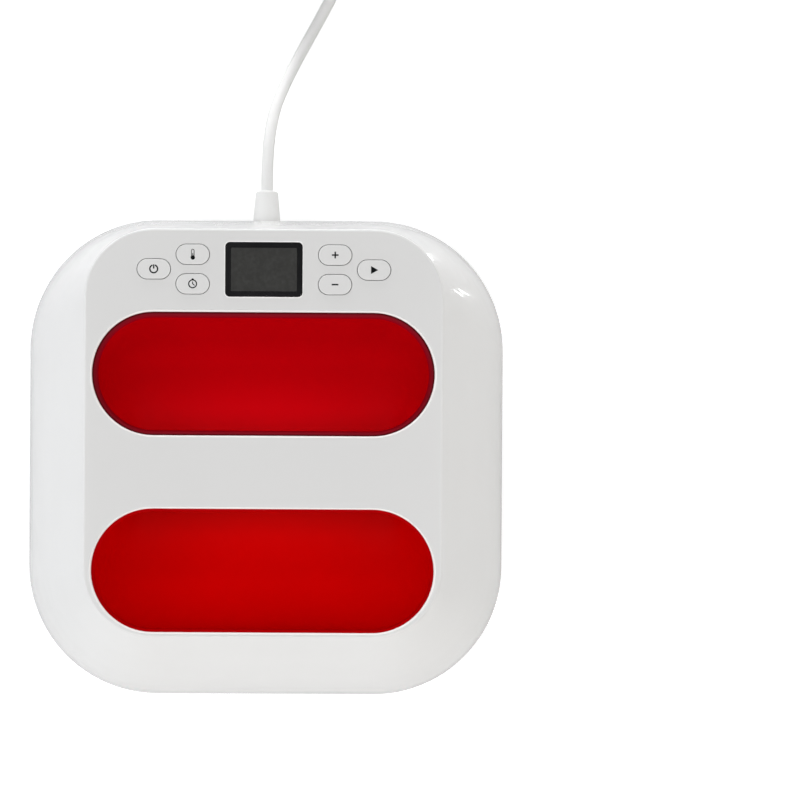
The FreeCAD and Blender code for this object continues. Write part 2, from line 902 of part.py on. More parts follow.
def make_bumper_ring():
    outer = square_slab(half_case, case_corner_radius, bumper_low, parting_height)
    outer = outer.makeFillet(bumper_edge_radius, edges_at(outer, bumper_low))
    inner_half = half_case - bumper_wall
    cavity = square_slab(
        inner_half, case_corner_radius - bumper_wall, bumper_low + bumper_floor, parting_height + 1
    )
    inner_edge = bumper_edge_radius - bumper_wall + 1
    cavity = cavity.makeFillet(inner_edge, edges_at(cavity, bumper_low + bumper_floor))
    opening = square_slab(
        plate_side / 2 - bumper_lap,
        plate_radius - bumper_lap,
        bumper_low - 1,
        bumper_low + bumper_floor + 1,
    )
    ring = outer.cut([cavity, opening])
    places = mirrored([(peg_place, peg_place)])
    pegs = [
        disc(x, y, bumper_low + bumper_floor / 2, base_low + peg_length, peg_radius)
        for x, y in places
    ]
    ring = ring.multiFuse(pegs)
    low = bumper_low - 1
    high = bumper_low + peg_groove_depth
    marks = places + [(0.0, plate_side / 2)]
    grooves = [
        tube_ring(x, y, low, high, peg_radius + peg_groove_width, peg_radius) for x, y in marks
    ]
    return ring.cut(grooves).removeSplitter()


def make_thermal_cutoff():
    x, y = cutoff_place()
    middle = plate_height + cutoff_base
    high = middle + cutoff_cap
    can = disc(x, y, plate_height, middle, cutoff_radius)
    cap = disc(x, y, middle, high, cutoff_cap_radius)
    half = heater_tab_width / 2
    thin = heater_tab_thickness / 2
    tabs = []
    for side in (-1, 1):
        place = x + side * cutoff_tab_spacing / 2
        tabs.append(block(place - thin, place + thin, y - half, y + half, high - 1, cutoff_top))
    return fuse_all([can, cap] + tabs)


def make_temperature_probe():
    x, y = probe_place()
    high = plate_height + probe_height
    barrel = disc(x, y, plate_height - probe_sink, high, probe_radius)
    return barrel.makeFillet(1.0, edges_at(barrel, high))


# Controls


def make_button(x, y, stem_low):
    half_length = button_length / 2
    half_width = button_width / 2
    high = case_height + button_proud
    flange_high = top_underside - button_rest_gap
    cap = stadium_slab(half_length, half_width, flange_high - button_flange_thickness, high, x, y)
    cap = cap.makeFillet(button_edge_radius, edges_at(cap, high))
    flange = stadium_slab(
        half_length + button_flange,
        half_width + button_flange,
        flange_high - button_flange_thickness,
        flange_high,
        x,
        y,
    )
    stem = disc(x, y, stem_low, flange_high, button_stem_radius)
    return fuse_all([cap, flange, stem])


def make_display_bezel():
    low = case_height - display_thickness
    frame = rounded_slab(
        display_width / 2, display_depth / 2, display_radius, low, case_height, 0, controls_y
    )
    opening = rounded_slab(
        display_width / 2 - display_border,
        display_depth / 2 - display_border,
        0.8,
        low - 1,
        case_height + 1,
        0,
        controls_y,
    )
    return frame.cut(opening)


def make_display_pane():
    high = case_height - pane_sink
    return rounded_slab(
        display_width / 2 - display_border - display_fit,
        display_depth / 2 - display_border - display_fit,
        0.7,
        high - pane_thickness,
        high,
        0,
        controls_y,
    )


def make_lcd_module(board_top):
    high = case_height - display_thickness
    glass = rounded_slab(lcd_width / 2, lcd_depth / 2, 0.8, high - 2.8, high, 0, controls_y)
    frame = rounded_slab(
        lcd_width / 2 - 2, lcd_depth / 2 - 2, 0.8, board_top, high - 2.8, 0, controls_y
    )
    return fuse_all([glass, frame])


def board_slab(board_top):
    return rounded_slab(
        board_half_length,
        board_width / 2,
        board_radius,
        board_top - board_thickness,
        board_top,
        0,
        board_centre_y,
    )


def make_control_board(board_top):
    low = board_top - board_thickness
    board = board_slab(board_top)
    cuts = [disc(x, y, low - 1, board_top + 1, small_shank + shank_gap) for x, y in board_boss_places()]
    board = board.cut(cuts)
    half = chip_side / 2
    middle = board_centre_y
    chip = block(chip_x - half, chip_x + half, middle - half, middle + half, low - 1.6, low)
    left = socket_x - socket_length / 2
    front = middle - socket_width / 2
    socket = block(
        left, left + socket_length, front, front + socket_width, low - socket_height, low
    )
    return fuse_all([board, chip, socket])


def make_tact_switches(board_top):
    switches = []
    for x, y in button_places().values():
        half = switch_side / 2
        body = block(x - half, x + half, y - half, y + half, board_top, board_top + switch_height)
        plunger = disc(
            x,
            y,
            board_top + switch_height,
            board_top + switch_height + switch_plunger_height,
            switch_plunger_radius,
        )
        switches.append(fuse_all([body, plunger]))
    return Part.makeCompound(switches)


def make_buzzer(board_top):
    high = board_top - board_thickness
    case = disc(buzzer_x, board_centre_y, high - buzzer_height, high, buzzer_radius)
    vent = disc(buzzer_x, board_centre_y, high - buzzer_height - 1, high - buzzer_height + 1.5, 1.2)
    return case.cut(vent)


# Power electronics


def power_board_holes():
    half_x = power_board_length / 2 - board_hole_inset
    half_y = power_board_width / 2 - board_hole_inset
    return [
        (power_board_x + side * half_x, power_board_y + end * half_y)
        for side in (-1, 1)
        for end in (-1, 1)
    ]


def power_tab_places():
    right = power_board_x + power_board_length / 2
    front = power_board_y - power_board_width / 2
    return [(right - 11.6, front + 13.2), (right - 20.6, front + 5.2)]


def power_board_top():
    return shield_top + standoff_height + board_thickness


def make_power_board():
    high = power_board_top()
    board = rounded_slab(
        power_board_length / 2,
        power_board_width / 2,
        2.0,
        high - board_thickness,
        high,
        power_board_x,
        power_board_y,
    )
    holes = [disc(x, y, high - 5, high + 1, small_shank + shank_gap) for x, y in power_board_holes()]
    board = board.cut(holes)
    half = heater_tab_width / 2
    thin = heater_tab_thickness / 2
    tabs = [
        block(x - thin, x + thin, y - half, y + half, high, high + 8)
        for x, y in power_tab_places()
    ]
    return fuse_all([board] + tabs)


def make_standoffs():
    low = shield_top
    return Part.makeCompound(
        [
            tube_ring(x, y, low, low + standoff_height, standoff_radius, small_shank + shank_gap)
            for x, y in power_board_holes()
        ]
    )


def make_relay():
    high = power_board_top()
    x = power_board_x + 8
    y = power_board_y - 10
    half_x = relay_length / 2
    half_y = relay_width / 2
    case = block(x - half_x, x + half_x, y - half_y, y + half_y, high, high + relay_height)
    return case.makeFillet(0.8, [edge for edge in case.Edges if edge.BoundBox.ZMax > high + 1])


def make_transformer():
    high = power_board_top()
    x = power_board_x - 20
    y = power_board_y - 6
    half_x = transformer_length / 2
    half_y = transformer_width / 2
    top = high + transformer_height
    core = block(x - half_x + 2, x + half_x - 2, y - half_y, y + half_y, high + 3, top)
    window = rounded_slab(half_x - 4, half_y - 4, 2, high + 4, top + 2, x, y)
    bobbin = rounded_slab(half_x, half_y - 3, 3, high, top - 2, x, y)
    return fuse_all([core.cut(window), bobbin])


def make_filter_capacitor():
    high = power_board_top()
    x = power_board_x - 22
    y = power_board_y + 13
    half_x = capacitor_length / 2
    half_y = capacitor_width / 2
    case = block(x - half_x, x + half_x, y - half_y, y + half_y, high, high + capacitor_height)
    return case.makeFillet(0.8, [edge for edge in case.Edges if edge.BoundBox.ZMax > high + 1])


def make_line_fuse():
    high = power_board_top()
    x = power_board_x + 4
    y = power_board_y + 12
    half = fuse_length / 2
    axis = high + fuse_radius + 1.6
    glass = Part.makeCylinder(fuse_radius, fuse_length, V(x - half, y, axis), V(1, 0, 0))
    wide = fuse_radius + 0.6
    clips = []
    for side in (-1, 1):
        place = x + side * (half - 2)
        clips.append(block(place - 2, place + 2, y - wide, y + wide, high, high + fuse_radius + 0.8))
    return fuse_all([glass] + clips)


def terminal_place():
    """The middle of the block's face, where the mains wires enter."""
    return power_board_x + power_board_length / 2 - 2, power_board_y + 5


def make_terminal_block():
    high = power_board_top()
    face, y = terminal_place()
    half = terminal_width / 2
    case = block(face - terminal_length, face, y - half, y + half, high, high + terminal_height)
    cuts = []
    for side in (-1, 1):
        middle = y + side * terminal_pitch / 2
        depth = terminal_length * 0.57
        start = V(face - depth, middle, power_entry_height())
        cuts.append(Part.makeCylinder(core_radius + 0.4, depth, start, V(1, 0, 0)))
        cuts.append(disc(face - 5, middle, start.z + 2, high + terminal_height + 1, 1.8))
    return case.cut(cuts).removeSplitter()


def power_entry_height():
    return power_board_top() + 5


# Wires inside


def make_mains_leads():
    start = shell_rear - jacket_end_distance
    z = cord_exit_height
    face, y = terminal_place()
    level = power_entry_height()
    pitch = terminal_pitch / 2
    half = core_spacing / 2
    live = wire_lead(
        [
            (-half, start, z),
            (-half, start - 3, z),
            (-half, y + pitch, level + 1),
            (face - 4, y + pitch, level),
        ],
        core_radius,
        2.2,
    )
    neutral = wire_lead(
        [
            (half, start, z),
            (half, start - 3, z),
            (half, y - pitch, level + 1),
            (face - 4, y - pitch, level),
        ],
        core_radius,
        2.6,
    )
    tag_x, tag_y = earth_place()
    tag_top = shield_top + tag_thickness + core_radius
    earth = wire_lead(
        [
            (0, start, z - 1.9),
            (0, start - 5, z - 1.9),
            (6, start - 16, z - 5),
            (tag_x, tag_y + 16, tag_top + 3),
            (tag_x, tag_y + 10, tag_top + 0.1),
            (tag_x, tag_y + 4, tag_top + 0.1),
        ],
        core_radius,
        3.0,
    )
    return Part.makeCompound([live, neutral, earth])


def earth_place():
    return (earth_x, half_case - earth_rear_gap)


def make_earth_tag():
    x, y = earth_place()
    low = shield_top
    high = low + tag_thickness
    eye = tube_ring(x, y, low, high, 4.0, small_shank + shank_gap)
    barrel = block(x - 1.6, x + 1.6, y + 3.4, y + 9, low, high)
    length = tag_thickness + shield_thickness + 2
    head = screw(x, y, high, length, small_shank, small_head, small_head_height)
    return Part.makeCompound([fuse_all([eye, barrel]), head])


def make_heater_leads():
    (left_x, end_y), (right_x, _) = heater_end_places()
    tab_top = heater_end_height + 1.5 + heater_tab_length
    high = power_board_top() + 8.2
    (first_x, first_y), (last_x, last_y) = power_tab_places()
    cx, cy = cutoff_place()
    tab = cutoff_tab_spacing / 2
    first = wire_lead(
        [
            (left_x, end_y, tab_top + 0.2),
            (left_x, end_y, tab_top + 8),
            (left_x - 20, end_y - 3, tab_top + 7),
            (first_x, first_y, high + 8),
            (first_x, first_y, high),
        ],
        core_radius,
        3.5,
    )
    second = wire_lead(
        [
            (right_x, end_y, tab_top + 0.2),
            (right_x, end_y, tab_top + 4),
            (right_x - 4, end_y - 26, tab_top - 4),
            (cx + 26, cy + 16, shield_top + 8),
            (cx + tab, cy, cutoff_top + 5.3),
            (cx + tab, cy, cutoff_top + 0.2),
        ],
        core_radius,
        2.0,
    )
    third = wire_lead(
        [
            (cx - tab, cy, cutoff_top + 0.2),
            (cx - tab, cy, cutoff_top + 5.3),
            (cx - 18, cy + 18, shield_top + 8),
            (last_x, last_y - 13, high - 2),
            (last_x, last_y, high + 6),
            (last_x, last_y, high),
        ],
        core_radius,
        2.0,
    )
    return Part.makeCompound([first, second, third])


def make_sensor_lead():
    x, y = probe_place()
    high = power_board_top()
    front = power_board_y - power_board_width / 2
    return wire_lead(
        [
            (x, y, plate_height + probe_height + 0.2),
            (x, y, plate_height + probe_height + 7),
            (x - 16, y + 28, shield_top + 7),
            (power_board_x + 10, front - 10, shield_top + 5),
            (power_board_x + 10, front - 0.6, high - 0.8),
        ],
        core_radius * 0.8,
        3.5,
    )


def make_ribbon_cable(board_top):
    """A flat cable from the power board up to the control board."""
    low = power_board_top()
    high = board_top - board_thickness - socket_height
    start_x = power_board_x + 18.5
    start_y = power_board_y + 3
    path_points = [
        V(start_x, start_y, low),
        V(start_x, start_y, low + 14),
        V(socket_x, board_centre_y, high - 12),
        V(socket_x, board_centre_y, high),
    ]
    path, _ = rounded_path(path_points, 5.0)
    corners = [(-0.5, -5), (0.5, -5), (0.5, 5), (-0.5, 5), (-0.5, -5)]
    strip = Part.makePolygon([V(start_x + dx, start_y + dy, low) for dx, dy in corners])
    return path.makePipeShell([Part.Wire(strip)], True, False)


# Cord entry


def turned_part(profile, y_start):
    """Revolves (distance, radius) steps about the cord's axis at its exit."""
    points = [V(0, y_start, 0)]
    for distance, radius in profile:
        points.append(V(radius, y_start + distance, 0))
    points.append(V(0, y_start + profile[-1][0], 0))
    points.append(points[0])
    face = Part.Face(Part.Wire(Part.makePolygon(points)))
    solid = face.revolve(V(0, 0, 0), REARWARD, 360)
    solid.translate(V(0, 0, cord_exit_height))
    return solid


def make_strain_relief():
    start = shell_rear - jacket_end_distance
    flange_high = shell_rear - shell_side_wall - relief_flange_setback - start
    flange_low = flange_high - relief_flange_thickness
    tip = relief_tip_y - start
    solid = turned_part(
        [
            (0, cord_radius),
            (flange_low, cord_radius),
            (flange_low, relief_flange_radius),
            (flange_high, relief_flange_radius),
            (flange_high, relief_base_radius),
            (tip - relief_length, relief_base_radius),
            (tip, relief_tip_radius),
        ],
        start,
    )
    tip_edges = [
        edge
        for edge in solid.Edges
        if edge.BoundBox.YMin > relief_tip_y - 0.01
    ]
    return solid.makeFillet(relief_tip_edge, tip_edges)


def make_cord_clamp():
    rear = shell_rear - clamp_distance
    half = clamp_post_spacing / 2 + clamp_post_radius
    bar = block(
        -half,
        half,
        rear - clamp_thickness,
        rear,
        cord_exit_height - clamp_height / 2,
        cord_exit_height + clamp_height / 2,
    )
    bar = bar.makeFillet(1.0, [edge for edge in bar.Edges if edge.BoundBox.YLength > 1])
    holes = [
        Part.makeCylinder(
            radius, clamp_thickness + 2, V(x, rear - clamp_thickness - 1, cord_exit_height), REARWARD
        )
        for x, radius in (
            (0, cord_radius + thread_gap),
            (-clamp_post_spacing / 2, small_shank + shank_gap),
            (clamp_post_spacing / 2, small_shank + shank_gap),
        )
    ]
    return bar.cut(holes)


def make_clamp_screws():
    screws = []
    seat = shell_rear - clamp_distance - clamp_thickness
    for side in (-1, 1):
        piece = screw(0, 0, 0, clamp_thickness + 7, small_shank, small_head, small_head_height)
        piece.rotate(V(0, 0, 0), V(1, 0, 0), 90)
        piece.translate(V(side * clamp_post_spacing / 2, seat, cord_exit_height))
        screws.append(piece)
    return Part.makeCompound(screws)


# Cord, coil and plug


def cord_route():
    """The lead's chosen points, from the strain relief down to the floor and to the coil."""
    end_x = coil_centre_x + coil_start_radius
    end_y = coil_centre_y - coil_end_run
    points = [
        (0.0, relief_tip_y, cord_exit_height),
        (0.0, relief_tip_y + 13.0, cord_exit_height),
        (0.9, relief_tip_y + 29.3, cord_exit_height - 4.7),
        (3.1, relief_tip_y + 43.6, cord_exit_height - 13.7),
        (6.7, relief_tip_y + 56.1, cord_exit_height - 24.6),
        (12.1, relief_tip_y + 69.5, cord_floor + 3.0),
        (19.7, relief_tip_y + 84.4, cord_floor),
        (28.4, relief_tip_y + 100.1, cord_floor),
        (36.6, relief_tip_y + 116.2, cord_floor),
        (end_x - 2.1, end_y - 27.4, cord_floor),
        (end_x, end_y - 12.5, cord_floor),
        (end_x, end_y, cord_floor),
    ]
    return [V(*point) for point in points]


def make_power_cord():
    path, radii = rounded_path(cord_route())
    solid = swept_disc(path, cord_radius)
    report_tube("power_cord", path, cord_radius, radii, solid)
    return solid, path.Length


def coil_state(quarters):
    """Place and heading on the coil after so many quarter turns."""
    turn = quarters * math.pi / 2
    from_middle = quarters - coil_quarters_in
    radius = coil_inner_radius + coil_pitch * abs(from_middle) / 4
    widening = coil_pitch / (2 * math.pi) * ((from_middle > 0) - (from_middle < 0))
    climb = min(max((from_middle + 1) / 2, 0), 1)
    steepness = 1.5 * coil_layer_rise / math.pi if from_middle == 0 else 0
    place = V(
        coil_centre_x + radius * math.cos(turn),
        coil_centre_y + radius * math.sin(turn),
        cord_floor + coil_layer_rise * climb,
    )
    if quarters in (0, coil_quarters_in + coil_quarters_out):
        widening = 0
    heading = V(
        widening * math.cos(turn) - radius * math.sin(turn),
        widening * math.sin(turn) + radius * math.cos(turn),
        steepness,
    )
    return place, heading.normalize()


def tangent_arc(start, knee, end):
    """The arc that touches both legs of a corner with legs of one length."""
    leg = (knee - start).Length
    weight = (end - start).Length / (2 * leg)
    middle = (start + end + knee * (2 * weight)) * (1 / (2 * (1 + weight)))
    return Part.Arc(start, middle, end).toShape()


def biarc(start, heading, end, leaving):
    """Two tangent arcs between two places with their headings."""
    across = end - start
    both = heading + leaving
    bend = 2 * (1 - heading.dot(leaving))
    along = across.dot(both)
    leg = (math.sqrt(along ** 2 + bend * across.dot(across)) - along) / bend
    first_knee = start + heading * leg
    second_knee = end - leaving * leg
    joint = (first_knee + second_knee) * 0.5
    return [tangent_arc(start, first_knee, joint), tangent_arc(joint, second_knee, end)]


def make_cord_coil():
    states = [coil_state(number) for number in range(coil_quarters_in + coil_quarters_out + 1)]
    first, heading = states[0]
    last, leaving = states[-1]
    edges = [Part.LineSegment(first - heading * coil_end_run, first).toShape()]
    for (start, towards), (end, away) in zip(states, states[1:]):
        edges += biarc(start, towards, end, away)
    edges.append(Part.LineSegment(last, last + leaving * coil_end_run).toShape())
    path = Part.Wire(edges)
    solid = swept_disc(path, cord_radius)
    report_tube("cord_coil", path, cord_radius, [coil_inner_radius], solid)
    print(f"cord_coil: least gap to itself {least_gap(path):.2f} mm")
    return solid, path.Length


def least_gap(path):
    """The least distance between the coil's surface and itself, measured on points."""
    step = cord_diameter / 2
    points = path.discretize(Number=int(path.Length / step))
    away = int(3 * cord_diameter / step)
    nearest = min(
        (points[one] - points[other]).Length
        for one in range(len(points))
        for other in range(one + away, len(points))
    )
    return nearest - cord_diameter


def plug_place():
    """Where the plug's tail meets the cord: beside the coil, pointing to -X."""
    return V(coil_centre_x - plug_distance, coil_centre_y + coil_end_radius, plug_axis)


def make_cord_tail():
    start = V(coil_centre_x - coil_end_run, coil_centre_y + coil_end_radius, coil_top)
    end = plug_place()
    run = start.x - end.x
    points = [
        start,
        start + V(-run * 0.24, 0, 0),
        V(start.x - run * 0.5, start.y + 0.5, (coil_top + plug_axis) / 2),
        V(end.x + run * 0.24, end.y, plug_axis),
        end,
    ]
    path, radii = rounded_path(points)
    solid = swept_disc(path, cord_radius)
    report_tube("cord_tail", path, cord_radius, radii, solid)
    return solid, path.Length


def place_plug(shape):
    """Turns a plug drawn upright, cable end down, to lie along -X."""
    shape.rotate(V(0, 0, 0), REARWARD, -90)
    shape.translate(plug_place())
    return shape


def make_mains_plug():
    tail = plug_tail_length
    face = tail + plug_body_length
    half_t = plug_thickness / 2
    half_w = plug_width / 2
    relief = Part.makeCone(plug_tail_radius, plug_tail_radius + 1.6, tail + 1)
    rings = [
        Part.makeTorus(plug_tail_radius + 1.2, 0.9, V(0, 0, height), UP)
        for height in (5.0, 9.5, 14.0)
    ]
    stations = [(tail, 0.46), (tail + 6, 0.66), (tail + 16, 0.86), (face - 12, 0.95), (face, 1.0)]
    sections = [
        rounded_wire(half_t * share, half_w * share, 0.42 * half_t * share, height)
        for height, share in stations
    ]
    body = Part.makeLoft(sections, True, False)
    solid = fuse_all([body, relief.cut(rings)])
    return place_plug(solid)


def make_plug_blades():
    face = plug_tail_length + plug_body_length
    blades = []
    for side in (-1, 1):
        centre = side * blade_spacing / 2
        blade = block(
            -blade_width / 2 - 3,
            blade_width / 2 - 3,
            centre - blade_thickness / 2,
            centre + blade_thickness / 2,
            face,
            face + blade_length,
        )
        blades.append(
            blade.makeFillet(
                0.6, [edge for edge in edges_at(blade, face + blade_length) if edge.Length > blade_width - 0.1]
            )
        )
    pin = Part.makeCylinder(ground_pin_radius, ground_pin_length, V(ground_pin_offset - 6, 0, face), UP)
    blades.append(pin.makeFillet(1.2, edges_at(pin, face + ground_pin_length)))
    return place_plug(Part.makeCompound(blades))


# Fasteners and spacers


def make_plate_spacers():
    return Part.makeCompound(
        [
            tube_ring(x, y, plate_height, blanket_top, spacer_radius, large_shank + shank_gap)
            for x, y in bolt_places()
        ]
    )


def screws_down(places, seat, length, small=True):
    shank, head, height = (
        (small_shank, small_head, small_head_height)
        if small
        else (large_shank, large_head, large_head_height)
    )
    return Part.makeCompound([screw(x, y, seat, length, shank, head, height) for x, y in places])


def screws_up(places, seat, length):
    return Part.makeCompound(
        [screw(x, y, seat, length, small_shank, small_head, small_head_height, -1) for x, y in places]
    )


def save(name, shape):
    shape.exportStep(f"parts/{name}.step")
    print(name, "solids", len(shape.Solids), "valid", shape.isValid(), "volume", round(shape.Volume))


def main():
    os.makedirs("parts", exist_ok=True)
    board_top = (
        top_underside
        - button_rest_gap
        - button_flange_thickness
        - 0.4
        - button_travel
        - 0.1
        - switch_plunger_height
        - switch_height
    )
    stem_low = board_top + switch_height + switch_plunger_height + button_travel + 0.1
    frame, head_seat = make_base_frame()
    bolt_length = shield_top - plate_height + bolt_grip

    save("heat_plate", make_heat_plate())
    save("heating_element", make_heating_element())
    save("mica_sheet", make_sheet(plate_height, mica_top))
    save("insulation_blanket", make_blanket())
    save("plate_spacers", make_plate_spacers())
    save("heat_shield", make_heat_shield())
    save("plate_bolts", screws_down(bolt_places(), shield_top, bolt_length, small=False))
    save("thermal_cutoff", make_thermal_cutoff())
    save("temperature_probe", make_temperature_probe())
    save("base_frame", frame)
    save("shield_screws", screws_down(shield_boss_places(), shield_top, shield_screw_length))
    save("bumper_ring", make_bumper_ring())
    places = mirrored([(peg_place, peg_place)])
    case_length = shell_low + case_screw_depth - head_seat
    save("case_screws", screws_up(places, head_seat, case_length))

    save("top_shell", make_top_shell(board_top))
    save("grip_tray", make_grip_tray())
    tray_seat = tray_lug_height - tray_lug_thickness
    save("tray_screws", screws_up(tray_lug_places(), tray_seat, tray_lug_thickness + tray_lug_screw))
    save("grip_cover", make_grip_cover())
    grip_seat = grip_low + grip_head_depth
    save("grip_screws", screws_up(grip_screw_places(), grip_seat, grip_screw_length))

    save("display_bezel", make_display_bezel())
    save("display_pane", make_display_pane())
    save("lcd_module", make_lcd_module(board_top))
    save("control_board", make_control_board(board_top))
    save("tact_switches", make_tact_switches(board_top))
    save("buzzer", make_buzzer(board_top))
    board_low = board_top - board_thickness
    save("board_screws", screws_up(board_boss_places(), board_low, board_thickness + board_screw_grip))
    for name, (x, y) in button_places().items():
        save(name, make_button(x, y, stem_low))

    save("power_board", make_power_board())
    save("board_standoffs", make_standoffs())
    save("power_board_screws", screws_down(power_board_holes(), power_board_top(), power_screw_length))
    save("relay", make_relay())
    save("transformer", make_transformer())
    save("filter_capacitor", make_filter_capacitor())
    save("line_fuse", make_line_fuse())
    save("terminal_block", make_terminal_block())
    save("mains_leads", make_mains_leads())
    save("earth_tag", make_earth_tag())
    save("heater_leads", make_heater_leads())
    save("sensor_lead", make_sensor_lead())
    save("ribbon_cable", make_ribbon_cable(board_top))

    save("strain_relief", make_strain_relief())
    save("cord_clamp", make_cord_clamp())
    save("clamp_screws", make_clamp_screws())
    cord, cord_length = make_power_cord()
    coil, coil_length = make_cord_coil()
    tail, tail_length = make_cord_tail()
    save("power_cord", cord)
    save("cord_coil", coil)
    save("cord_tail", tail)
    save("mains_plug", make_mains_plug())
    save("plug_blades", make_plug_blades())
    print(f"cord length {cord_length + coil_length + tail_length:.0f} mm")


main()
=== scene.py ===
import json
import math

import bmesh
import bpy
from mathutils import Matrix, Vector


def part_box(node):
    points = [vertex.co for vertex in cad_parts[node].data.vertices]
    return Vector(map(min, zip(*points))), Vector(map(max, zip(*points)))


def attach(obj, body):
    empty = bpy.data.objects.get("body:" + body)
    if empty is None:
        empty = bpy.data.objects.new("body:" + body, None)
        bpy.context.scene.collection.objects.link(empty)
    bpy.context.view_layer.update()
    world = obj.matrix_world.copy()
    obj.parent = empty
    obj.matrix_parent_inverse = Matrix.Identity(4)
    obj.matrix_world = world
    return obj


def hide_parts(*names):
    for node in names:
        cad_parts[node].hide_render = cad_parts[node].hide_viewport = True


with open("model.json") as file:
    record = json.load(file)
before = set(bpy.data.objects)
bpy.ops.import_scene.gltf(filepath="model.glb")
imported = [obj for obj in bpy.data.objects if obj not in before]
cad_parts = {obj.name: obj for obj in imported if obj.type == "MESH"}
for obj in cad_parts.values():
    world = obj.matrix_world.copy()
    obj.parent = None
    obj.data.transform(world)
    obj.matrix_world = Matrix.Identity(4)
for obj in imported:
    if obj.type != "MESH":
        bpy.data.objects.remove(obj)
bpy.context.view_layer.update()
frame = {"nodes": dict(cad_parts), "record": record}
nodes = frame["nodes"]

# Looks of a handheld heat press over its CAD solids. +Z is up and +Y is the rear, where the cord
# leaves. The scene is in metres. The cord's route, the signs, the trims and the beads are given
# in millimetres.

MM = 0.001


def add_object(name, data):
    made = bpy.data.objects.new(name, data)
    bpy.context.scene.collection.objects.link(made)
    return made


# Camera, straight above and a little to the right of the press

CAMERA_PLACE = (0.021, 0, 1.10)
CAMERA_ROLL = 0.33
CAMERA_LENS = 91.25
CAMERA_SHIFT = (0.1179, 0.0723)


def make_camera():
    data = bpy.data.cameras.new("camera")
    data.sensor_width = 36
    data.lens = CAMERA_LENS
    data.shift_x, data.shift_y = CAMERA_SHIFT
    data.clip_start = 0.05
    data.clip_end = 20
    camera = add_object("camera", data)
    camera.location = CAMERA_PLACE
    camera.rotation_euler = (0, 0, math.radians(CAMERA_ROLL))
    bpy.context.scene.camera = camera


# Cord: its route's points and its coil

CORD_DIAMETER = 6.3
CORD_FLOOR = 3.35
COIL_CENTRE = (-6.5, 304.0)
COIL_INNER_RADIUS = 28.0
COIL_PITCH = 6.9
COIL_RISE = 6.85
QUARTERS_IN = 13
QUARTERS_OUT = 12
POINTS_PER_QUARTER = 4

LEAD_ROUTE = [
    (0.0, 139.0, 40.0),
    (0.0, 152.0, 40.0),
    (0.9, 168.3, 35.3),
    (3.1, 182.6, 26.3),
    (6.7, 195.1, 15.4),
    (12.1, 208.5, 6.35),
    (19.7, 223.4, CORD_FLOOR),
    (28.4, 239.1, CORD_FLOOR),
    (36.6, 255.2, CORD_FLOOR),
    (41.825, 270.3, CORD_FLOOR),
    (43.925, 285.2, CORD_FLOOR),
    (43.925, 297.7, CORD_FLOOR),
]
TAIL_ROUTE = [
    (-12.8, 352.7, 10.2),
    (-21.6, 352.7, 10.2),
    (-31.15, 353.2, 11.3),
    (-40.7, 352.7, 12.45),
    (-49.5, 352.7, 12.45),
]


def coil_points():
    """Control points of the coil's turns: in on the lower layer and out again on the upper."""
    points = []
    step = math.pi / 2 / POINTS_PER_QUARTER
    outward = 1 / math.cos(step / 2)
    for number in range(1, (QUARTERS_IN + QUARTERS_OUT) * POINTS_PER_QUARTER + 1):
        quarters = number / POINTS_PER_QUARTER
        radius = COIL_INNER_RADIUS + COIL_PITCH * abs(quarters - QUARTERS_IN) / 4
        climb = min(max((quarters - QUARTERS_IN + 1) / 2, 0), 1)
        turn = number * step
        points.append(
            (
                COIL_CENTRE[0] + radius * outward * math.cos(turn),
                COIL_CENTRE[1] + radius * outward * math.sin(turn),
                CORD_FLOOR + COIL_RISE * climb,
            )
        )
    return points


def make_cord():
    curve = bpy.data.curves.new("mains_cord", "CURVE")
    curve.dimensions = "3D"
    curve.bevel_depth = 1.0
    curve.bevel_resolution = 6
    curve.resolution_u = 6
    spline = curve.splines.new("NURBS")
    points = LEAD_ROUTE + coil_points() + TAIL_ROUTE
    spline.points.add(len(points) - 1)
    for point, (x, y, z) in zip(spline.points, points):
        point.co = (x * MM, y * MM, z * MM, 1)
        point.radius = CORD_DIAMETER / 2 * MM
    spline.order_u = 3
    spline.use_endpoint_u = True
    cord = add_object("mains_cord", curve)
    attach(cord, "housing")
    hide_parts("power_cord", "cord_coil", "cord_tail")
    return cord


# Materials

WHITE = (0.79, 0.79, 0.785)


